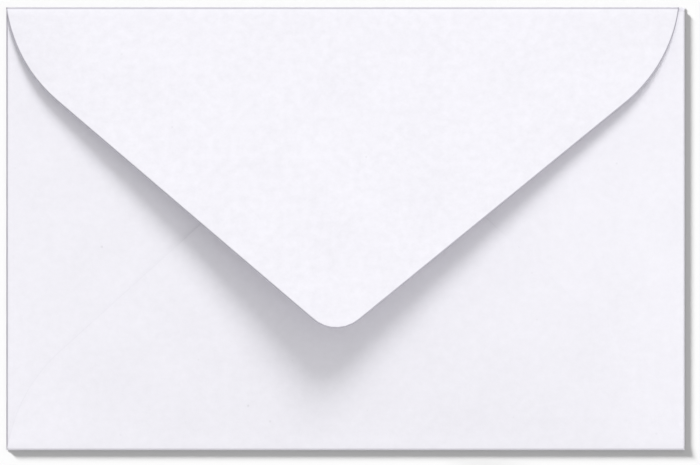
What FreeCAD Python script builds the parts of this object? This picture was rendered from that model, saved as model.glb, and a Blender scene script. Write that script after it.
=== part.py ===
import FreeCAD, Part
import math
import os

# A small paper envelope with four pointed flaps, folded and glued from one sheet.
# It lies on its front, the back with the flaps looks up, and the closing flap has sprung open a little.
# X runs along the long side, Y from the bottom fold to the top fold, Z up from the table.
# The origin is at the middle of the front panel, on the table. All sizes are in mm and degrees.

# Sizes of the closed envelope
width = 140.0
height = 91.4
paper = 0.15

# Folds: the inner radius of the side creases, the air under the closing flap at its crease,
# and how far from each corner the side creases stop
side_fold_radius = 0.25
flap_gap = 0.13
corner_cut = 0.7

# Closing flap at the top, measured in its own plane: reach from its crease to its tip, inset of its ends
# from the sides, shift of the flap and of its tip out of the middle, and the angle it stands open by
flap_reach = 66.6
flap_inset = 0.6
flap_shift = -0.6
flap_tip_shift = -1.25
flap_tip_radius = 7.2
flap_shoulder_radius = 31.4
flap_lift = 10.0

# Bottom flap, glued over the two side flaps: throat_depth is from the top fold down to its tip
throat_depth = 19.7
bottom_inset = 0.2
bottom_tip_shift = 0.5
bottom_tip_radius = 7.2
bottom_shoulder_radius = 33.5

# Side flaps, under the bottom flap: their tips stay apart by side_tip_gap
side_tip_gap = 20.0
side_tip_radius = 8.0
side_shoulder_radius = 31.0

# Every flap's cut edge leaves its fold nearly square, by this angle, before its shoulder curves in
edge_lean = 8.5

# Swell of the back over the empty pocket: it bends out of every fold within a few crease_run, climbs
# over bulge_run and is level in the middle
bulge = 2.0
bulge_run = 40.0
crease_run = 2.0
level_spans = 8
slab_margin = 0.1

# Sizes that follow from the ones above
side_turn = side_fold_radius + paper
side_level = 2 * side_turn - paper
bottom_turn = (side_level + 2 * paper) / 2
flap_turn = (side_level + 2 * paper + flap_gap) / 2
side_half = height / 2 - corner_cut
bottom_half = width / 2 - bottom_inset
flap_half = width / 2 - flap_inset
side_fold_x = width / 2 - side_turn
bottom_fold_y = bottom_turn - height / 2
flap_fold_y = height / 2 - flap_turn
side_reach = side_fold_x - side_tip_gap / 2
bottom_reach = height - bottom_turn - throat_depth
prism_height = side_level + 2 * paper + 2 * bulge

along_x = FreeCAD.Vector(1, 0, 0)
along_y = FreeCAD.Vector(0, 1, 0)
upwards = FreeCAD.Vector(0, 0, 1)


def tangent_side(shoulder, shoulder_radius, tip, tip_radius, outward):
    """The straight cut edge that touches the shoulder's arc and the tip's arc on their outer side."""
    run = tip - shoulder
    share = (shoulder_radius - tip_radius) / run.Length
    run.normalize()
    across = FreeCAD.Vector(-run.y, run.x, 0) * outward
    normal = run * share + across * math.sqrt(1 - share * share)
    return shoulder + normal * shoulder_radius, tip + normal * tip_radius


def flap_outline(half, reach, shoulder_radius, tip_radius, tip_shift):
    """A flap's cut edge as a closed wire: its fold lies on X and its tip points to +Y."""
    lean = math.radians(edge_lean)
    inset = shoulder_radius * math.cos(lean)
    drop = -shoulder_radius * math.sin(lean)
    tip = FreeCAD.Vector(tip_shift, reach - tip_radius, 0)
    left = FreeCAD.Vector(inset - half, drop, 0)
    right = FreeCAD.Vector(half - inset, drop, 0)
    left_low, left_high = tangent_side(left, shoulder_radius, tip, tip_radius, 1)
    right_low, right_high = tangent_side(right, shoulder_radius, tip, tip_radius, -1)
    left_end = FreeCAD.Vector(-half, 0, 0)
    right_end = FreeCAD.Vector(half, 0, 0)
    point = tip + along_y * tip_radius
    edges = [
        Part.LineSegment(right_end, left_end).toShape(),
        arc_about(left, left_end, left_low),
        Part.LineSegment(left_low, left_high).toShape(),
        Part.Arc(left_high, point, right_high).toShape(),
        Part.LineSegment(right_high, right_low).toShape(),
        arc_about(right, right_low, right_end),
    ]
    return Part.Wire(edges)


def arc_about(centre, start, end):
    """The short arc from start to end around a centre."""
    middle = (start + end) * 0.5 - centre
    middle.normalize()
    return Part.Arc(start, centre + middle * (start - centre).Length, end).toShape()


def flap_prism(outline, thickness, turn, x, y, z):
    """A flap's outline as a flat plate: turned about Z, with the middle of its fold at x, y, z."""
    plate = Part.Face(outline).extrude(upwards * thickness)
    plate.rotate(FreeCAD.Vector(0, 0, 0), upwards, turn)
    plate.translate(FreeCAD.Vector(x, y, z))
    return plate


def knot_line(low, high):
    """Knots across the back: close together where the sheet bends out of a fold, with a margin outside."""
    near = [low + crease_run * index for index in range(4)]
    far = [high - crease_run * index for index in (3, 2, 1, 0)]
    step = (far[0] - near[-1]) / level_spans
    middle = [near[-1] + step * index for index in range(1, level_spans)]
    return [low - slab_margin] + near + middle + far + [high + slab_margin]


def pole_places(knots):
    """Where the control points of a cubic stand, so that the surface keeps an even grid."""
    full = [knots[0]] * 3 + knots + [knots[-1]] * 3
    return [sum(full[index + 1:index + 4]) / 3 for index in range(len(full) - 4)]


def climb(place, low, high):
    """How far the back has climbed at a place between two folds: 0 at a fold, 1 in the level middle."""
    distance = min(place - low, high - place) - crease_run
    share = min(max(distance / bulge_run, 0), 1)
    return 1 - (1 - share) ** 2


def swelled_slab(level, thickness):
    """A sheet at a height over the table, swelled like the back and a little larger than it."""
    knots_x = knot_line(-side_fold_x, side_fold_x)
    knots_y = knot_line(bottom_fold_y, flap_fold_y)
    poles = []
    for x in pole_places(knots_x):
        climb_x = climb(x, -side_fold_x, side_fold_x)
        row = []
        for y in pole_places(knots_y):
            swell = bulge * climb_x * climb(y, bottom_fold_y, flap_fold_y)
            row.append(FreeCAD.Vector(x, y, level + swell))
        poles.append(row)
    counts_x = [4] + [1] * (len(knots_x) - 2) + [4]
    counts_y = [4] + [1] * (len(knots_y) - 2) + [4]
    surface = Part.BSplineSurface()
    surface.buildFromPolesMultsKnots(poles, counts_x, counts_y, knots_x, knots_y, False, False, 3, 3)
    return surface.toShape().extrude(upwards * thickness)


def crease(outer, turn_angle, length):
    """A fold of the sheet: part of a tube along X that leaves the table towards +Y and turns back."""
    inner = outer - paper

    def rim(radius, degrees):
        angle = math.radians(degrees - 90)
        return FreeCAD.Vector(0, radius * math.cos(angle), outer + radius * math.sin(angle))

    outside = Part.Arc(rim(outer, 0), rim(outer, turn_angle / 2), rim(outer, turn_angle)).toShape()
    inside = Part.Arc(rim(inner, turn_angle), rim(inner, turn_angle / 2), rim(inner, 0)).toShape()
    end = Part.LineSegment(rim(outer, turn_angle), rim(inner, turn_angle)).toShape()
    start = Part.LineSegment(rim(inner, 0), rim(outer, 0)).toShape()
    section = Part.Face(Part.Wire([outside, end, inside, start]))
    section.translate(along_x * (-length / 2))
    return section.extrude(along_x * length)


def placed(shape, turn, x, y):
    """A piece turned about Z and moved over the table."""
    shape.rotate(FreeCAD.Vector(0, 0, 0), upwards, turn)
    shape.translate(FreeCAD.Vector(x, y, 0))
    return shape


def strip(low_x, high_x, low_y, high_y):
    """A flat piece of the sheet on the table."""
    return Part.makeBox(high_x - low_x, high_y - low_y, paper, FreeCAD.Vector(low_x, low_y, 0))


def front_panel():
    """The address side, flat on the table, with its four edges set back to where the folds start."""
    panel = strip(-width / 2, width / 2, -height / 2, height / 2)
    left = strip(-width, -side_fold_x, -side_half, side_half)
    right = strip(side_fold_x, width, -side_half, side_half)
    bottom = strip(-bottom_half, bottom_half, -height, bottom_fold_y)
    top = strip(flap_shift - flap_half, flap_shift + flap_half, flap_fold_y, height)
    return panel.cut([left, right, bottom, top])


def folds():
    """The three closed folds at the left, the right and the bottom."""
    left = placed(crease(side_turn, 180, 2 * side_half), 90, -side_fold_x, 0)
    right = placed(crease(side_turn, 180, 2 * side_half), -90, side_fold_x, 0)
    bottom = placed(crease(bottom_turn, 180, 2 * bottom_half), 180, 0, bottom_fold_y)
    return [left, right, bottom]


def back():
    """The side flaps and the bottom flap over them: one sheet thick, and two where they are glued."""
    side = flap_outline(side_half, side_reach, side_shoulder_radius, side_tip_radius, 0)
    left = flap_prism(side, prism_height, -90, -side_fold_x, 0, 0)
    right = flap_prism(side, prism_height, 90, side_fold_x, 0, 0)
    middle = flap_outline(
        bottom_half, bottom_reach, bottom_shoulder_radius, bottom_tip_radius, bottom_tip_shift)
    bottom = flap_prism(middle, prism_height, 0, 0, bottom_fold_y, 0)
    lower = swelled_slab(side_level, paper)
    upper = swelled_slab(side_level + paper, paper)
    glued = swelled_slab(side_level, 2 * paper)
    pieces = [bottom.cut([left, right]).common(upper)]
    for flap in (left, right):
        pieces.append(flap.cut(bottom).common(lower))
        pieces.append(flap.common(bottom).common(glued))
    return pieces


def closing_flap():
    """The top flap with its fold, which stops short of a full turn and leaves the flap standing off."""
    fold = placed(crease(flap_turn, 180 - flap_lift, 2 * flap_half), 0, flap_shift, flap_fold_y)
    outline = flap_outline(
        flap_half, flap_reach, flap_shoulder_radius, flap_tip_radius, -flap_tip_shift)
    plate = flap_prism(outline, paper, 180, flap_shift, flap_fold_y, 2 * flap_turn - paper)
    hinge = FreeCAD.Vector(0, flap_fold_y, flap_turn)
    plate.rotate(hinge, along_x, -flap_lift)
    return [fold, plate]


def envelope():
    """The whole folded sheet as one solid."""
    return front_panel().fuse(folds() + back() + closing_flap()).removeSplitter()


os.makedirs("parts", exist_ok=True)
shape = envelope()
solid = shape.Solids[0]
print("solids:", len(shape.Solids), "valid:", shape.isValid(), "volume mm3:", round(shape.Volume, 1))
print("box mm:", shape.BoundBox)
print("sheet area cm2:", round(shape.Volume / paper / 100, 1))
solid.exportStep("parts/envelope.step")
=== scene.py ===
# %% [markdown]
# # A paper envelope, cut, folded, glued and lit
#
# A small envelope with four pointed flaps is one sheet of uncoated white paper. In the factory a
# die cuts the flat blank, four creases are pressed into it, the side flaps are folded in, the
# bottom flap is glued over them, and the closing flap is folded down last. This lesson makes the
# envelope in that order too: a flat blank first, then the folds by a formula, then the thickness
# of the sheet, and last the paper itself. A folded solid could also be carved out of a block, but
# a sheet that is folded keeps the same width everywhere and its grain runs on round the folds.

from collections import namedtuple
import math

import bmesh
import bpy
from mathutils import Matrix, Vector, kdtree, noise


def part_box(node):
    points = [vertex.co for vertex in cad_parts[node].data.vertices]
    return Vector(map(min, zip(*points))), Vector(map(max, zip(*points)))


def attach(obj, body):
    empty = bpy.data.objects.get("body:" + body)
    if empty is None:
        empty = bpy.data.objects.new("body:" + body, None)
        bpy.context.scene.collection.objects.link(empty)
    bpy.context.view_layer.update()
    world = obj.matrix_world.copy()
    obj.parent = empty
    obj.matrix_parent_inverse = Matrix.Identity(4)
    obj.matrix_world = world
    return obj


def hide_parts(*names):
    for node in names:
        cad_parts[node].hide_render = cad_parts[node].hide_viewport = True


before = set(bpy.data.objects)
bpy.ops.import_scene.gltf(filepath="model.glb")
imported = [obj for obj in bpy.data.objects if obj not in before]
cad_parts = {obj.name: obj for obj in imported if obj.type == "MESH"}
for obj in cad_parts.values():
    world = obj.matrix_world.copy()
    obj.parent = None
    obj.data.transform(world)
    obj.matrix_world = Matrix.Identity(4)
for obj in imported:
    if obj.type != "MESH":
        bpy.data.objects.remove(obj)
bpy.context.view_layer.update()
MM = 0.001
low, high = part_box("envelope")
width = high.x - low.x
height = high.y - low.y
print("envelope of", round(width / MM, 1), "by", round(height / MM, 1), "mm")

# %% [markdown]
# ## Sizes of the sheet and its folds
#
# The frame gives the outside of the folded envelope. The rest are the sizes that a maker of dies
# would write on the drawing: how thick the paper is, how round each crease is, how far each flap
# reaches and how its cut edge runs. They are in metres, because a scene is in metres. A fold's
# turn is its outer radius. The side folds close over the panel alone, the bottom fold goes round
# the side flaps too, and the closing flap's fold goes round both with a little room to spare. The
# side creases stop a corner cut short of each corner, so that the paper there doesn't bunch up.

# %% Sizes of the folds
paper = 0.15 * MM
fold_radius = 0.25 * MM
flap_gap = 0.13 * MM
corner_cut = 0.7 * MM

side_turn = fold_radius + paper
side_level = 2 * side_turn - paper
bottom_turn = (side_level + 2 * paper) / 2
flap_turn = (side_level + 2 * paper + flap_gap) / 2

side_fold_x = width / 2 - side_turn
bottom_fold_y = bottom_turn - height / 2
flap_fold_y = height / 2 - flap_turn

edge_lean = math.radians(8.5)
flap_lift = math.radians(10)

bulge = 2.0 * MM
bulge_run = 40 * MM
crease_run = 2 * MM
print("folds turn by", round(side_turn / MM, 2), round(bottom_turn / MM, 2),
      round(flap_turn / MM, 2), "mm at the sides, the bottom and the top")

# %% [markdown]
# ## Outlines of the flaps
#
# A flap's outline is told by six sizes: where its crease starts and ends, how far it reaches beyond
# the crease, how round its shoulders and its tip are, and where the tip stands along the crease.
# The closing flap was cut about a millimetre out of the middle, so its numbers aren't even. The
# bottom flap's tip lies a throat's depth below the top fold, and the side flaps' tips stay apart.

# %% Sizes of the flaps
Outline = namedtuple("Outline", "low_end high_end reach shoulder_radius tip_radius tip_along")
side_half = height / 2 - corner_cut
bottom_half = width / 2 - 0.2 * MM
throat_depth = 19.7 * MM
side_tip_gap = 20 * MM

side_outline = Outline(
    low_end=-side_half,
    high_end=side_half,
    reach=side_fold_x - side_tip_gap / 2,
    shoulder_radius=31 * MM,
    tip_radius=8 * MM,
    tip_along=0)
bottom_outline = Outline(
    low_end=-bottom_half,
    high_end=bottom_half,
    reach=height - bottom_turn - throat_depth,
    shoulder_radius=33.5 * MM,
    tip_radius=7.2 * MM,
    tip_along=0.5 * MM)
closing_outline = Outline(
    low_end=-width / 2,
    high_end=width / 2 - 1.2 * MM,
    reach=66.6 * MM,
    shoulder_radius=31.4 * MM,
    tip_radius=7.2 * MM,
    tip_along=-1.85 * MM)
for outline in (side_outline, bottom_outline, closing_outline):
    print("a flap reaches", round(outline.reach / MM, 1), "mm")

# %% [markdown]
# ## One flap of the blank
#
# A flap's cut edge is drawn as with a pen: up from the crease, round the shoulder, straight to
# the tip, round the tip, and back the same way on the other side. A vertex that is extruded draws
# the straight runs, and a spin draws the arcs, so every arc is a true one. Both straight sides
# touch their arcs without a corner, and a little trigonometry gives the place where they do.
# A narrow rim is marked off inside the outline, so that the wear of the cut edge has points of
# its own to follow.
#
# Each flap is drawn in its own measure: `along` runs along its crease and `out` runs away from
# it, as it lies in the flat blank. That way one function draws all four.

# %% The pen
tiny = 0.001 * MM
edge_rim = 0.30 * MM
shoulder_steps = 24
tip_steps = 32


def draw_to(mesh, vertex, along, out):
    """Draws a straight run from a vertex and returns the new end."""
    new = bmesh.ops.extrude_vert_indiv(mesh, verts=[vertex])["verts"][0]
    new.co = Vector((along, out, 0))
    return new


def draw_arc(mesh, vertex, centre, turn, steps):
    """Draws an arc from a vertex round a centre and returns the new end. Left turns are positive."""
    spun = bmesh.ops.spin(
        mesh, geom=[vertex], cent=centre, axis=(0, 0, 1), angle=turn, steps=steps,
        use_merge=False, use_duplicate=False)
    return [v for v in spun["geom_last"] if isinstance(v, bmesh.types.BMVert)][0]


def side_normal(shoulder, shoulder_radius, tip, tip_radius, side):
    """The outward direction of the straight edge that touches a shoulder's and the tip's arc."""
    run = tip - shoulder
    share = (shoulder_radius - tip_radius) / run.length
    run.normalize()
    across = Vector((-run.y, run.x, 0)) * side
    return run * share + across * math.sqrt(1 - share * share)


def flap_face(outline, strip):
    """A flap of the flat blank, drawn from its crease strip round its shoulders and tip."""
    low_end, high_end, reach, shoulder_radius, tip_radius, tip_along = outline
    mesh = bmesh.new()
    inset = shoulder_radius * math.cos(edge_lean)
    drop = strip - shoulder_radius * math.sin(edge_lean)
    tip = Vector((tip_along, strip + reach - tip_radius, 0))
    left = Vector((low_end + inset, drop, 0))
    right = Vector((high_end - inset, drop, 0))
    left_normal = side_normal(left, shoulder_radius, tip, tip_radius, 1)
    right_normal = side_normal(right, shoulder_radius, tip, tip_radius, -1)
    left_lean = math.atan2(left_normal.y, -left_normal.x)
    right_lean = math.atan2(right_normal.y, right_normal.x)
    start = mesh.verts.new((low_end, 0, 0))
    pen = draw_to(mesh, start, low_end, strip)
    pen = draw_arc(mesh, pen, left, edge_lean - left_lean, shoulder_steps)
    pen = draw_to(mesh, pen, *(tip + left_normal * tip_radius).xy)
    pen = draw_arc(mesh, pen, tip, left_lean + right_lean - math.pi, tip_steps)
    pen = draw_to(mesh, pen, *(right + right_normal * shoulder_radius).xy)
    pen = draw_arc(mesh, pen, right, edge_lean - right_lean, shoulder_steps)
    pen = draw_to(mesh, pen, high_end, 0)
    draw_to(mesh, pen, low_end, 0)
    bmesh.ops.remove_doubles(mesh, verts=mesh.verts, dist=tiny)
    bmesh.ops.contextual_create(mesh, geom=mesh.edges[:])
    bmesh.ops.inset_region(mesh, faces=mesh.faces[:], thickness=edge_rim, use_even_offset=True)
    return mesh


# %% Try the pen on the closing flap
flap_strip = (flap_turn - paper / 2) * (math.pi - flap_lift)
trial = flap_face(closing_outline, flap_strip)
area = sum(face.calc_area() for face in trial.faces)
print("closing flap, flat:", round(area * 1e4, 1), "cm2 with", len(trial.verts), "points")
trial.free()

# %% [markdown]
# ## Cutting the sheet into small faces
#
# One big face can't bend. A plane that cuts the mesh adds a row of edges without moving anything,
# so the flat sheet is cut into squares of about a millimetre and a half, and much finer where a
# crease will be. All parts of the blank are cut along the same lines, so that their corners meet
# when the parts are joined. Subdividing would be shorter to write, but it would not put a line
# exactly where a crease starts.

# %% Cutting lines
square = 1.45 * MM
crease_steps = 10
on_the_line = 0.01 * MM


def spread(start, end, gap):
    """Evenly spaced places from start to end, both included, about a gap apart."""
    count = max(1, round((end - start) / gap))
    return [start + (end - start) * index / count for index in range(count + 1)]


def cut(mesh, direction, places):
    """Cuts a flat mesh square to a direction, at each of the places along it."""
    for place in places:
        everything = mesh.verts[:] + mesh.edges[:] + mesh.faces[:]
        bmesh.ops.bisect_plane(
            mesh, geom=everything, dist=on_the_line, plane_co=direction * place, plane_no=direction)


flap_high = closing_outline.high_end
lines_x = spread(-side_fold_x, side_fold_x, square) + [-bottom_half, bottom_half, flap_high]
lines_y = spread(bottom_fold_y, flap_fold_y, square) + [-side_half, side_half]
print("cutting lines:", len(lines_x), "across and", len(lines_y), "up")

# %% [markdown]
# ## Folding by a formula
#
# A crease is a piece of a tube: as long as a point of the flat blank lies in the crease strip, it
# goes round the tube, and past the strip it goes on straight in the direction that the tube has
# turned to. The three closed folds turn by half a circle. The closing flap's fold stops ten
# degrees short of that, which is how a fresh fold springs open, and the flap stands off the back.
#
# The back also swells a little, because the sheet doesn't like its folds: it climbs away from all
# four of them and is level in the middle. Paper is never quite even, so a very slow noise of a
# tenth of a millimetre goes on top.

# %% The shape of a fold and of the swelled back
uneven_run = 24 * MM
uneven_share = 0.06


def round_crease(out, turn, angle):
    """Where a point of a flap goes: how far beyond its crease, and how high over the table."""
    radius = turn - paper / 2
    bend = min(out / radius, angle)
    straight = max(out - radius * angle, 0)
    away = radius * math.sin(bend) + straight * math.cos(bend)
    level = paper / 2 + radius * (1 - math.cos(bend)) + straight * math.sin(bend)
    return away, level


def climb(distance):
    """How far the back has climbed at a distance from a fold: 0 at the fold, 1 in the level middle."""
    distance = max(distance, 0)
    share = min(distance ** 2 / (distance + crease_run) / bulge_run, 1)
    return 1 - (1 - share) ** 2


def swell(x, y):
    """The height that the back gains over the empty pocket."""
    across = climb(side_fold_x - abs(x))
    up = climb(min(y - bottom_fold_y, flap_fold_y - y))
    uneven = noise.noise(Vector((x, y, 0)) / uneven_run) * uneven_share
    return bulge * across * up * (1 + uneven)


print("swell in the middle:", round(swell(0, 0) / MM, 2), "mm, 10 mm from a side:",
      round(swell(side_fold_x - 10 * MM, 0) / MM, 2), "mm")

# %% [markdown]
# ## What is kept of the flat blank
#
# Two things are easy to know while the blank is flat and hard to find later. One is where each
# point lay in the flat sheet: it becomes the UV map, so the paper's mottle follows the sheet round
# the folds. The other is how far each point is from the cut edge, which tells later where the
# gum goes and where a line of painted shade runs along the edge. A search tree finds the nearest
# point of the edge quickly. Both stay with the mesh as layers, and so do three marks that are set
# while a flap is folded: how much painted shade and wear its crease gets, how much painted shade
# lines its cut edge, and which flap it belongs to.

# %% Measuring the distance to the cut edge
edge_step = 0.04 * MM


def edge_finder(mesh):
    """A search tree of points along a flap's cut edge, without the line where it joins the panel."""
    points = []
    for edge in mesh.edges:
        start, end = edge.verts[0].co, edge.verts[1].co
        if not edge.is_boundary or max(start.y, end.y) < tiny:
            continue
        count = max(1, round((end - start).length / edge_step))
        points += [start.lerp(end, index / count) for index in range(count)]
    tree = kdtree.KDTree(len(points))
    for index, point in enumerate(points):
        tree.insert(point, index)
    tree.balance()
    return tree


# %% [markdown]
# ## The blank's parts, folded and joined
#
# Every part goes through the same steps: draw, cut, note what is worth keeping, bend, and hand
# the faces over to the one mesh of the whole sheet. The panel's small corner squares between two
# creases stay flat, so they are added with it. Their cut edges hardly show, so they count as far
# from any edge.

# %% Hand a part over to the sheet
sheet = bmesh.new()


def add_to_sheet(mesh):
    """Moves a finished part into the mesh of the whole sheet."""
    carrier = bpy.data.meshes.new("carrier")
    mesh.to_mesh(carrier)
    mesh.free()
    sheet.from_mesh(carrier)
    bpy.data.meshes.remove(carrier)


def keep_flat_places(mesh, flat_place):
    """Writes where each corner lay in the flat blank into the UV map, in metres."""
    flat = mesh.loops.layers.uv.new("flat_sheet")
    for face in mesh.faces:
        for loop in face.loops:
            loop[flat].uv = flat_place(loop.vert.co)


# %% The front panel with the small corners between its creases
far_from_edge = 1.0


def add_patch(x_low, x_high, y_low, y_high):
    """A flat rectangle of the sheet, lying on the table."""
    mesh = bmesh.new()
    centre = Vector(((x_low + x_high) / 2, (y_low + y_high) / 2, 0))
    size = Vector((x_high - x_low, y_high - y_low, 1))
    bmesh.ops.create_grid(mesh, x_segments=1, y_segments=1, size=0.5,
                          matrix=Matrix.LocRotScale(centre, None, size))
    cut(mesh, Vector((1, 0, 0)), lines_x)
    cut(mesh, Vector((0, 1, 0)), lines_y)
    keep_flat_places(mesh, lambda place: (place.x, place.y))
    distance = mesh.verts.layers.float.new("edge_distance")
    for vertex in mesh.verts:
        vertex[distance] = far_from_edge
    bmesh.ops.translate(mesh, verts=mesh.verts, vec=(0, 0, paper / 2))
    add_to_sheet(mesh)


add_patch(-side_fold_x, side_fold_x, bottom_fold_y, flap_fold_y)
add_patch(-width / 2, -side_fold_x, side_half, flap_fold_y)
add_patch(side_fold_x, width / 2, side_half, height / 2)
add_patch(flap_high, side_fold_x, flap_fold_y, height / 2)
for side in (-1, 1):
    add_patch(*sorted((side * side_fold_x, side * bottom_half)), bottom_fold_y, -side_half)
    add_patch(*sorted((side * bottom_half, side * width / 2)), -height / 2, -side_half)
print("panel:", len(sheet.faces), "faces")

# %% [markdown]
# ## The four flaps
#
# The side flaps are folded in first. The bottom flap is folded over them, with a film of glue
# between, so its edge is pressed flat and hardly shows. A faint line of painted shade runs along
# it: a little on the left, and a little more towards its tip, in the closing flap's shadow. The
# closing flap comes last. It springs up in the middle and less at its two ends, and it is never
# quite even, so it gets a slow wave of its own. Each crease gets painted shade, with a little wear
# in it: how much is kept under "crushed_and_shaded".

# %% Painted shade, and a little wear, along cut edges and creases
# The sizes below shape the painted shade, with a little wear, along cut edges and creases.
faint = 0.05
tip_wear_and_shade = 0.12
tip_starts_at = -3 * MM
tip_run = 5 * MM
crush_and_shade_rise = 0.45
crush_and_shade_fall = 0.12


def edge_wear_and_shade(name, place):
    """How much painted shade, with a little wear, lines a flap's cut edge, from 0 to 1."""
    if name == "closing":
        return 1
    if name != "bottom":
        return faint
    left_shade = faint if place.x < 0 else 0
    near_tip = min(max((place.y - tip_starts_at) / tip_run, 0), 1)
    return left_shade + tip_wear_and_shade * near_tip


def crease_crush_and_shade(out, strip):
    """How much painted shade and wear a crease gets at a distance from the panel, from 0 to 1."""
    part_way = min(out / strip, 1)
    return min(part_way / crush_and_shade_rise, (1 - part_way) / crush_and_shade_fall, 1)


print("a crease is worn most from", crush_and_shade_rise, "to", 1 - crush_and_shade_fall, "of the way round it")

# %% How the closing flap and the glued flap lie
glue = 0.02 * MM
glue_run = 2 * MM
wave_height = 0.15 * MM
wave_run = 30 * MM
end_hold = 0.55
end_power = 8


def closing_rise(along, out, beyond):
    """What the closing flap's slow wave adds to its height, less what its held ends take away."""
    wave = noise.noise(Vector((along, out, 0)) / wave_run) * wave_height
    held_down = end_hold * (abs(along) / (width / 2)) ** end_power
    return wave * min(beyond / wave_run, 1) - held_down * beyond * math.sin(flap_lift)


print("the closing flap's shoulder lies", round(-closing_rise(65 * MM, 12 * MM, 12 * MM) / MM, 2),
      "mm lower than on a straight flap")


# %% Draw, cut and fold one flap
def add_flap(name, outline, turn, angle, lay, lines, crease_wear_and_shade):
    """Draws, cuts and folds one flap. lay(along, away) says where it lies beside the panel."""
    strip = (turn - paper / 2) * angle
    mesh = flap_face(outline, strip)
    finder = edge_finder(mesh)
    cut(mesh, Vector((1, 0, 0)), lines)
    cut(mesh, Vector((0, 1, 0)), [strip * index / crease_steps for index in range(1, crease_steps)])
    cut(mesh, Vector((0, 1, 0)), spread(strip, strip + outline.reach, square))
    keep_flat_places(mesh, lambda place: lay(place.x, place.y).xy)
    distance = mesh.verts.layers.float.new("edge_distance")
    crushed_and_shaded = mesh.verts.layers.float.new("crushed_and_shaded")
    bruised_and_shaded = mesh.verts.layers.float.new("bruised_and_shaded")
    gummed = mesh.verts.layers.float.new("closing_flap")
    for vertex in mesh.verts:
        along, out = vertex.co.x, vertex.co.y
        from_edge = finder.find(vertex.co)[2]
        away, level = round_crease(out, turn, angle)
        place = lay(along, away)
        place.z = level
        beyond = max(out - strip, 0)
        if name == "closing":
            place.z += closing_rise(along, out, beyond)
        else:
            place.z += swell(place.x, place.y)
        if name == "bottom":
            place.z += glue * min(beyond / glue_run, 1)
        vertex[distance] = from_edge
        # Painted shade, with a little wear, for the crease and for the cut edge.
        vertex[crushed_and_shaded] = crease_wear_and_shade * crease_crush_and_shade(out, strip)
        vertex[bruised_and_shaded] = edge_wear_and_shade(name, place)
        vertex[gummed] = float(name == "closing")
        vertex.co = place
    print(name, "flap:", len(mesh.faces), "faces")
    add_to_sheet(mesh)


# %% Where the flaps lie beside the panel
def left_of_panel(along, away):
    """A place on the left side flap: its crease runs along Y."""
    return Vector((-side_fold_x - away, along, 0))


def right_of_panel(along, away):
    """A place on the right side flap: its crease runs along Y."""
    return Vector((side_fold_x + away, along, 0))


def below_panel(along, away):
    """A place on the bottom flap: its crease runs along X."""
    return Vector((along, bottom_fold_y - away, 0))


def above_panel(along, away):
    """A place on the closing flap: its crease runs along X."""
    return Vector((along, flap_fold_y + away, 0))


half_turn = math.pi
# Each crease gets its own amount of painted shade: the left one and the closing one the most.
add_flap("left", side_outline, side_turn, half_turn, left_of_panel, lines_y, crease_wear_and_shade=1.0)
add_flap("right", side_outline, side_turn, half_turn, right_of_panel, lines_y, crease_wear_and_shade=0.4)
add_flap("bottom", bottom_outline, bottom_turn, half_turn, below_panel, lines_x, crease_wear_and_shade=0.15)
add_flap("closing", closing_outline, flap_turn, half_turn - flap_lift, above_panel, lines_x,
         crease_wear_and_shade=1.0)

# %% [markdown]
# ## One surface, then a sheet with a thickness
#
# The parts meet along the creases, point on point, so merging the doubles makes one surface. Its
# faces are then turned to look the same way: outwards is the address side and what shows of the
# flaps from the back. Only then does the Solidify modifier give it the thickness of the paper. It
# also gives the inside and the cut edge their own material slots, because the cut edge is painted
# a dark grey as shade and the inside carries the gum.

# %% Join, turn and thicken
bmesh.ops.remove_doubles(sheet, verts=sheet.verts, dist=2 * tiny)
bmesh.ops.recalc_face_normals(sheet, faces=sheet.faces)
panel_face = min(sheet.faces, key=lambda face: face.calc_center_median().length)
if panel_face.normal.z > 0:
    bmesh.ops.reverse_faces(sheet, faces=sheet.faces)
open_edges = [edge for edge in sheet.edges if edge.is_boundary]
sheet_area = sum(face.calc_area() for face in sheet.faces)
edge_length = sum(edge.calc_length() for edge in open_edges)
print("sheet:", len(sheet.faces), "faces,", round(sheet_area * 1e4, 1), "cm2 of paper,",
      "cut edge", round(edge_length, 3), "m")

# %% Give the sheet its thickness
surface = bpy.data.meshes.new("envelope_surface")
sheet.to_mesh(surface)
sheet.free()
thin = bpy.data.objects.new("thin_sheet", surface)
bpy.context.scene.collection.objects.link(thin)
thickness = thin.modifiers.new("paper thickness", "SOLIDIFY")
thickness.thickness = paper
thickness.offset = 0
thickness.use_even_offset = True
thickness.material_offset = 1
thickness.material_offset_rim = 2
for slot_name in ("outside", "inside", "cut edge"):
    surface.materials.append(bpy.data.materials.new(slot_name))
bpy.context.view_layer.update()
thick = thin.evaluated_get(bpy.context.evaluated_depsgraph_get())
folded = bpy.data.meshes.new_from_object(thick)
folded.shade_smooth()
sharp_angle = math.radians(50)
folded.set_sharp_from_angle(angle=sharp_angle)
bpy.data.objects.remove(thin)
envelope = bpy.data.objects.new("folded_envelope", folded)
bpy.context.scene.collection.objects.link(envelope)
print("thick sheet:", len(folded.vertices), "corners and", len(folded.polygons), "faces")

# %% [markdown]
# ## What uncoated paper looks like
#
# White paper isn't one white. Seen from near it is faintly mottled, because the fibres settle in
# small clumps, and here and there lies a darker speck. Larger clouds, about a centimetre across,
# are fainter still. The surface is matt and has a fine tooth. All of this goes into one
# node group, because the outside, the inside and the cut edge are the same paper with more or less
# of each. The pattern reads the flat sheet's own places, so it bends round the folds with the paper.


# %% The paper's grain as a node group
def group_input(group, name, kind, value=None):
    """Adds a named input to a node group, with a default where it has one."""
    socket = group.interface.new_socket(name=name, in_out="INPUT", socket_type=kind)
    if value is not None:
        socket.default_value = value


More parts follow.
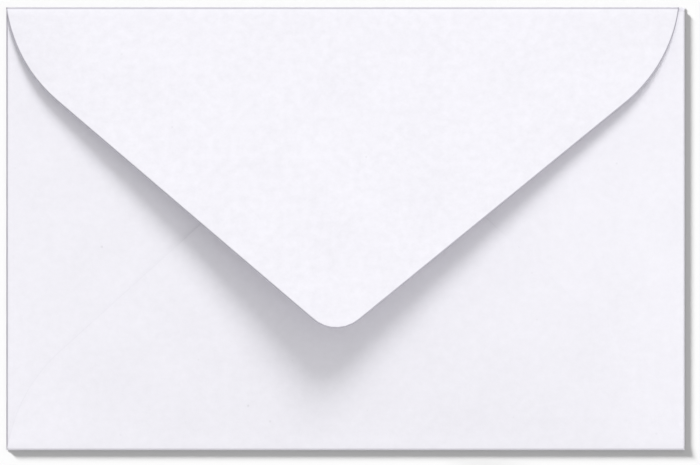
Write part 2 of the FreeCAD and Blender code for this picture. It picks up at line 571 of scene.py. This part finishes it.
def math_node(tree, operation, first, second):
    """A Math node fed by sockets or plain numbers. Returns its result."""
    node = tree.nodes.new("ShaderNodeMath")
    node.operation = operation
    for socket, value in zip(node.inputs, (first, second)):
        if isinstance(value, bpy.types.NodeSocket):
            tree.links.new(value, socket)
        else:
            socket.default_value = value
    return node.outputs[0]


def noise_node(tree, place, scale, detail, rough=0.5):
    """A noise texture over a place in millimetres, centred on 0. Scale is clumps per millimetre."""
    node = tree.nodes.new("ShaderNodeTexNoise")
    node.inputs["Scale"].default_value = scale
    node.inputs["Detail"].default_value = detail
    node.inputs["Roughness"].default_value = rough
    tree.links.new(place, node.inputs["Vector"])
    return math_node(tree, "SUBTRACT", node.outputs["Fac"], 0.5)


grain = bpy.data.node_groups.new("paper grain", "ShaderNodeTree")
group_input(grain, "Flat place", "NodeSocketVector")
group_input(grain, "Paper colour", "NodeSocketColor", (0.9, 0.9, 0.9, 1))
group_input(grain, "Mottle", "NodeSocketFloat", 0.02)
group_input(grain, "Cloud", "NodeSocketFloat", 0.01)
group_input(grain, "Specks", "NodeSocketFloat", 0.02)
grain.interface.new_socket(name="Colour", in_out="OUTPUT", socket_type="NodeSocketColor")
grain.interface.new_socket(name="Roughness", in_out="OUTPUT", socket_type="NodeSocketFloat")
grain.interface.new_socket(name="Height", in_out="OUTPUT", socket_type="NodeSocketFloat")
given = grain.nodes.new("NodeGroupInput").outputs
wanted = grain.nodes.new("NodeGroupOutput").inputs

in_mm = grain.nodes.new("ShaderNodeVectorMath")
in_mm.operation = "SCALE"
in_mm.inputs["Scale"].default_value = 1 / MM
grain.links.new(given["Flat place"], in_mm.inputs[0])
place_mm = in_mm.outputs["Vector"]

clump_scale = 0.55
cloud_scale = 0.09
tooth_scale = 4.5
clumps = noise_node(grain, place_mm, clump_scale, detail=4.0, rough=0.72)
clouds = noise_node(grain, place_mm, cloud_scale, detail=1.5)
tooth = noise_node(grain, place_mm, tooth_scale, detail=3.0, rough=0.6)
print("grain: clumps up to", round(1 / clump_scale, 1), "mm, clouds of", round(1 / cloud_scale),
      "mm, tooth of", round(1 / tooth_scale, 2), "mm")

# %% Specks, colour, roughness and height
speck_scale = 0.2
speck_edge = 0.075
speck_core = 0.02
speck_rareness = 3.0
mean_roughness = 0.88
clump_roughness = 0.15
tooth_relief = 0.6

speck_cells = grain.nodes.new("ShaderNodeTexVoronoi")
speck_cells.inputs["Scale"].default_value = speck_scale
grain.links.new(place_mm, speck_cells.inputs["Vector"])
speck_shape = grain.nodes.new("ShaderNodeMapRange")
speck_shape.interpolation_type = "SMOOTHSTEP"
speck_shape.inputs["From Min"].default_value = speck_edge
speck_shape.inputs["From Max"].default_value = speck_core
grain.links.new(speck_cells.outputs["Distance"], speck_shape.inputs["Value"])
speck_depth = grain.nodes.new("ShaderNodeSeparateColor")
grain.links.new(speck_cells.outputs["Color"], speck_depth.inputs["Color"])
deep = math_node(grain, "POWER", speck_depth.outputs["Red"], speck_rareness)
speck = math_node(grain, "MULTIPLY", speck_shape.outputs["Result"], deep)

mottled = math_node(grain, "MULTIPLY", clumps, given["Mottle"])
clouded = math_node(grain, "MULTIPLY", clouds, given["Cloud"])
specked = math_node(grain, "MULTIPLY", speck, given["Specks"])
light = math_node(grain, "ADD", math_node(grain, "ADD", mottled, clouded), 1.0)
light = math_node(grain, "SUBTRACT", light, specked)
shade = grain.nodes.new("ShaderNodeVectorMath")
shade.operation = "SCALE"
grain.links.new(given["Paper colour"], shade.inputs[0])
grain.links.new(light, shade.inputs["Scale"])
grain.links.new(shade.outputs["Vector"], wanted["Colour"])
rough = math_node(grain, "MULTIPLY", clumps, clump_roughness)
grain.links.new(math_node(grain, "ADD", rough, mean_roughness), wanted["Roughness"])
relief = math_node(grain, "MULTIPLY", tooth, tooth_relief)
grain.links.new(math_node(grain, "ADD", relief, clumps), wanted["Height"])
print("specks: at most one in", round(1 / speck_scale), "by", round(1 / speck_scale),
      "mm, and few of them dark")


# %% A paper material
def paper_material(material, colour, mottle, cloud, specks, relief_depth):
    """Fills a material with the grain group and returns its shader and the group's node."""
    material.use_nodes = True
    tree = material.node_tree
    shader = tree.nodes["Principled BSDF"]
    shader.inputs["Specular IOR Level"].default_value = 0.25
    flat = tree.nodes.new("ShaderNodeUVMap")
    flat.uv_map = "flat_sheet"
    node = tree.nodes.new("ShaderNodeGroup")
    node.node_tree = grain
    node.inputs["Paper colour"].default_value = (*colour, 1)
    node.inputs["Mottle"].default_value = mottle
    node.inputs["Cloud"].default_value = cloud
    node.inputs["Specks"].default_value = specks
    tree.links.new(flat.outputs["UV"], node.inputs["Flat place"])
    tree.links.new(node.outputs["Colour"], shader.inputs["Base Color"])
    tree.links.new(node.outputs["Roughness"], shader.inputs["Roughness"])
    bump = tree.nodes.new("ShaderNodeBump")
    bump.inputs["Strength"].default_value = 1.0
    bump.inputs["Distance"].default_value = relief_depth
    tree.links.new(node.outputs["Height"], bump.inputs["Height"])
    tree.links.new(bump.outputs["Normal"], shader.inputs["Normal"])
    return shader, node


paper_white = (0.905, 0.893, 0.951)
# The cut edge's dark grey is painted shade.
cut_edge_shade_grey = (0.46, 0.45, 0.48)
back_mottle = 0.10
outside, inside, cut_edge = folded.materials
outside_shader, outside_grain = paper_material(
    outside, paper_white, mottle=back_mottle, cloud=0.05, specks=0.12, relief_depth=0.02 * MM)
inside_shader, inside_grain = paper_material(
    inside, paper_white, mottle=0.13, cloud=0.05, specks=0.08, relief_depth=0.02 * MM)
paper_material(cut_edge, cut_edge_shade_grey, mottle=0.10, cloud=0.0, specks=0.0, relief_depth=0.04 * MM)
print("materials:", [material.name for material in folded.materials])

# %% [markdown]
# ## Painted shade at creases and cut edges
#
# Each crease and cut edge is painted a little greyer than the sheet between them. From above
# that draws a thin line along each fold, along the closing flap and along the seams: painted
# shade, with a little wear in it. How far a point is from the cut edge, and how much shade its
# crease gets, were kept on the flat blank, so both lines follow the paper.
#
# The closing flap is a single sheet with a gap behind it, while the back is two and three sheets
# thick. Paper lets some light through, so a single sheet looks a shade darker and shows its clumps
# more clearly. Light that really goes through the paper would take far longer to render, so the
# shade is painted.


# %% Painted shade on the outside: the closing flap, the creases and the edges
def attribute(tree, name):
    """The value that was kept on the sheet's corners under a name."""
    node = tree.nodes.new("ShaderNodeAttribute")
    node.attribute_name = name
    return node.outputs["Fac"]


def ramp(tree, value, start, end):
    """A soft step from 0 to 1 while a value goes from start to end."""
    node = tree.nodes.new("ShaderNodeMapRange")
    node.interpolation_type = "SMOOTHSTEP"
    node.inputs["From Min"].default_value = start
    node.inputs["From Max"].default_value = end
    tree.links.new(value, node.inputs["Value"])
    return node.outputs["Result"]


def dim(tree, colour, amount, tint):
    """Multiplies a colour with a tint by an amount from 0 to 1."""
    node = tree.nodes.new("ShaderNodeMix")
    node.data_type = "RGBA"
    node.blend_type = "MULTIPLY"
    node.inputs["B"].default_value = (*tint, 1)
    tree.links.new(amount, node.inputs["Factor"])
    tree.links.new(colour, node.inputs["A"])
    return node.outputs["Result"]


single_mottle = 0.065
# The three tints below are painted shade: on the closing flap, in the creases and along the cut edges.
flap_shade_tint = (0.945, 0.945, 0.945)
crushed_and_shaded_tint = (0.54, 0.53, 0.56)
bruised_and_shaded_tint = (0.48, 0.47, 0.50)
bruise_and_shade_core = 0.14 * MM

tree = outside.node_tree
single_sheet = attribute(tree, "closing_flap")
clearer = math_node(tree, "MULTIPLY", single_sheet, single_mottle)
tree.links.new(math_node(tree, "ADD", clearer, back_mottle), outside_grain.inputs["Mottle"])
# Painted shade: the closing flap a shade darker than the back.
single = dim(tree, outside_grain.outputs["Colour"], single_sheet, flap_shade_tint)
# Painted shade, with a little wear, in a thin grey line along each crease.
shaded_and_worn = dim(tree, single, attribute(tree, "crushed_and_shaded"), crushed_and_shaded_tint)
# Painted shade, with a little die bruise, in a thin grey line along the cut edges and seams.
near_edge = ramp(tree, attribute(tree, "edge_distance"), edge_rim, bruise_and_shade_core)
bruised_and_shaded = math_node(tree, "MULTIPLY", near_edge, attribute(tree, "bruised_and_shaded"))
shaded_and_worn = dim(tree, shaded_and_worn, bruised_and_shaded, bruised_and_shaded_tint)
tree.links.new(shaded_and_worn, outside_shader.inputs["Base Color"])
print("cut edges: greyest within", round(bruise_and_shade_core / MM, 2), "mm, and plain paper from",
      round(edge_rim / MM, 2), "mm on")

# %% [markdown]
# ## The gum
#
# The closing flap is gummed inside along its cut edge, in a strip about a finger wide that stops
# short of the edge. Dried gum is clear: it fills the paper's tooth, so the strip is a little
# glossier and warmer, and that is all one sees of it. It could be a piece of its own, but a film
# that thin is better painted. The distance to the cut edge that was kept above says where it is.

# %% Gum strip inside the closing flap
gum_start = 1.5 * MM
gum_end = 13.6 * MM
gum_tint = (0.975, 0.965, 0.925)
gum_gloss = 0.42

tree = inside.node_tree
from_edge = attribute(tree, "edge_distance")
outer_side = ramp(tree, from_edge, gum_start, gum_start + 0.4 * MM)
inner_side = ramp(tree, from_edge, gum_end, gum_end - 0.6 * MM)
gum = math_node(tree, "MULTIPLY", outer_side, inner_side)
gum = math_node(tree, "MULTIPLY", gum, attribute(tree, "closing_flap"))
gummed_colour = dim(tree, inside_grain.outputs["Colour"], gum, gum_tint)
tree.links.new(gummed_colour, inside_shader.inputs["Base Color"])
smooth = math_node(tree, "MULTIPLY", gum, gum_gloss)
smoother = math_node(tree, "SUBTRACT", inside_grain.outputs["Roughness"], smooth)
tree.links.new(smoother, inside_shader.inputs["Roughness"])
print("gum strip: from", round(gum_start / MM, 1), "to", round(gum_end / MM, 1),
      "mm inside the cut edge")

# %% [markdown]
# ## The envelope in the frame
#
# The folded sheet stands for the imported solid, moves with its body and takes its finish.

# %% Put the envelope in place
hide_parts("envelope")
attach(envelope, "root")

# %% [markdown]
# ## Floor
#
# The envelope lies on a plain white surface. Folded paper never lies quite flat, so the surface is
# a sheet's thickness lower than its underside. A white floor under the same light as the paper
# would show hardly any shadow at the envelope's right and lower edges, where it is less than a
# millimetre high. So the floor has a darker colour and a strong lamp of its own that stands low in
# the upper left, and the two together make the lit floor just white.

# %% Floor
floor_white = 0.61
floor_reach = 2.0

floor_mesh = bmesh.new()
bmesh.ops.create_grid(floor_mesh, x_segments=1, y_segments=1, size=floor_reach,
                      matrix=Matrix.Translation((0, 0, -paper)))
floor_data = bpy.data.meshes.new("floor")
floor_mesh.to_mesh(floor_data)
floor_mesh.free()
floor = bpy.data.objects.new("floor", floor_data)
bpy.context.scene.collection.objects.link(floor)
floor_paint = bpy.data.materials.new("floor white")
floor_paint.use_nodes = True
floor_shader = floor_paint.node_tree.nodes["Principled BSDF"]
floor_shader.inputs["Base Color"].default_value = (floor_white, floor_white, floor_white, 1)
floor_shader.inputs["Roughness"].default_value = 1.0
floor_shader.inputs["Specular IOR Level"].default_value = 0.0
floor_data.materials.append(floor_paint)
print("floor:", round(floor_data.vertices[0].co.z / MM, 2), "mm")

# %% [markdown]
# ## Light
#
# A large soft light stands behind the envelope's upper edge, a little to the right and less than
# halfway up. It throws the closing flap's shadow down over the back, and the shadow's edge grows
# softer towards the tip because the tip is highest. A sun with a wide angle does that. Its height
# and the flap's lift belong together: a lower light draws the same shadow from a flatter flap.
#
# The window light is linked to the paper and the low lamp to the floor, so each of them draws one
# shadow only. The window light's strength is set so that it and the world together light a level
# sheet with just 1, and a colour renders as it is written.

# %% Lamps
fill_level = 0.65
key_azimuth = 77
key_height = 36
key_width = 24
floor_azimuth = 137
floor_height = 20
floor_width = 12
floor_level = 0.985


def sun(name, direction, strength, angle):
    """A sun that shines from a direction, with the angle that it fills in the sky."""
    data = bpy.data.lights.new(name, "SUN")
    data.energy = strength
    data.angle = math.radians(angle)
    lamp = bpy.data.objects.new(name, data)
    lamp.rotation_euler = Vector(direction).to_track_quat("Z", "Y").to_euler()
    bpy.context.scene.collection.objects.link(lamp)
    return lamp


def from_sky(azimuth, elevation):
    """The direction to a light: azimuth from the right edge towards the upper edge, in degrees."""
    turn = math.radians(azimuth)
    rise = math.radians(elevation)
    return math.cos(rise) * math.cos(turn), math.cos(rise) * math.sin(turn), math.sin(rise)


def sun_strength(share, elevation):
    """The strength with which a sun at an elevation lights a level sheet by a share of 1."""
    return share * math.pi / math.sin(math.radians(elevation))


key_strength = sun_strength(1 - fill_level, key_height)
key = sun("window light", from_sky(key_azimuth, key_height), key_strength, key_width)
only_paper = bpy.data.collections.new("lit by the window light")
only_paper.objects.link(envelope)
key.light_linking.receiver_collection = only_paper

floor_strength = sun_strength(floor_level / floor_white - fill_level, floor_height)
low_lamp = sun("floor light", from_sky(floor_azimuth, floor_height), floor_strength, floor_width)
only_floor = bpy.data.collections.new("lit by the floor light")
only_floor.objects.link(floor)
low_lamp.light_linking.receiver_collection = only_floor
print("window light:", round(key_strength, 2), "floor light:", round(floor_strength, 2))

# %% [markdown]
# ## Surroundings
#
# The world gives the soft part of the light. It comes from above, from the front and from behind,
# and less from the left and right: the strength falls with the square of how far a ray points
# sideways, with the brightest place a little to the right. What the camera sees of the world,
# directly or in a mirror or through glass, is plain white.

# %% World
brightest_fill = 1.22
sideways_fall = 0.85
brightest_place = 0.1


def fill_from(sideways):
    """The strength of the world in a direction, from -1 at the left to 1 at the right."""
    return fill_level * (brightest_fill - sideways_fall * (sideways - brightest_place) ** 2)


world = bpy.data.worlds.new("white room")
world.use_nodes = True
bpy.context.scene.world = world
nodes = world.node_tree.nodes
links = world.node_tree.links
background = nodes["Background"]
rays = nodes.new("ShaderNodeLightPath")
mirrored = rays.outputs["Is Glossy Ray"]
seen = math_node(world.node_tree, "MAXIMUM", rays.outputs["Is Camera Ray"], mirrored)
seen = math_node(world.node_tree, "MAXIMUM", seen, rays.outputs["Is Transmission Ray"])
sky_direction = nodes.new("ShaderNodeTexCoord").outputs["Generated"]
heading = nodes.new("ShaderNodeSeparateXYZ")
links.new(sky_direction, heading.inputs["Vector"])
sideways = math_node(world.node_tree, "SUBTRACT", heading.outputs["X"], brightest_place)
sideways = math_node(world.node_tree, "MULTIPLY", sideways, sideways)
dimmer = math_node(world.node_tree, "MULTIPLY", sideways, sideways_fall * fill_level)
fill = math_node(world.node_tree, "SUBTRACT", brightest_fill * fill_level, dimmer)
level = nodes.new("ShaderNodeMix")
links.new(seen, level.inputs["Factor"])
links.new(fill, level.inputs["A"])
level.inputs["B"].default_value = 1.0
links.new(level.outputs["Result"], background.inputs["Strength"])
background.inputs["Color"].default_value = (1, 1, 1, 1)
print("fill light:", round(fill_from(0), 2), "from above,", round(fill_from(1), 2),
      "from the right and", round(fill_from(-1), 2), "from the left")

# %% [markdown]
# ## Camera
#
# The picture is taken from straight above, from far away and with a long lens, so nothing leans.
# The envelope isn't quite in the middle of it, so the camera stands a little to the side.

# %% Camera
picture_width = 700
pixels_per_metre = 4843
sensor_width = 36
camera_place = Vector((0.93 * MM, -0.77 * MM, 1.5))
camera_data = bpy.data.cameras.new("camera above")
camera_data.sensor_fit = "HORIZONTAL"
camera_data.sensor_width = sensor_width
camera_data.lens = sensor_width * camera_place.z * pixels_per_metre / picture_width
camera = bpy.data.objects.new("camera above", camera_data)
camera.location = camera_place
bpy.context.scene.collection.objects.link(camera)
bpy.context.scene.camera = camera
bpy.context.scene.view_settings.view_transform = "Standard"
print("lens:", round(camera_data.lens, 1), "mm")
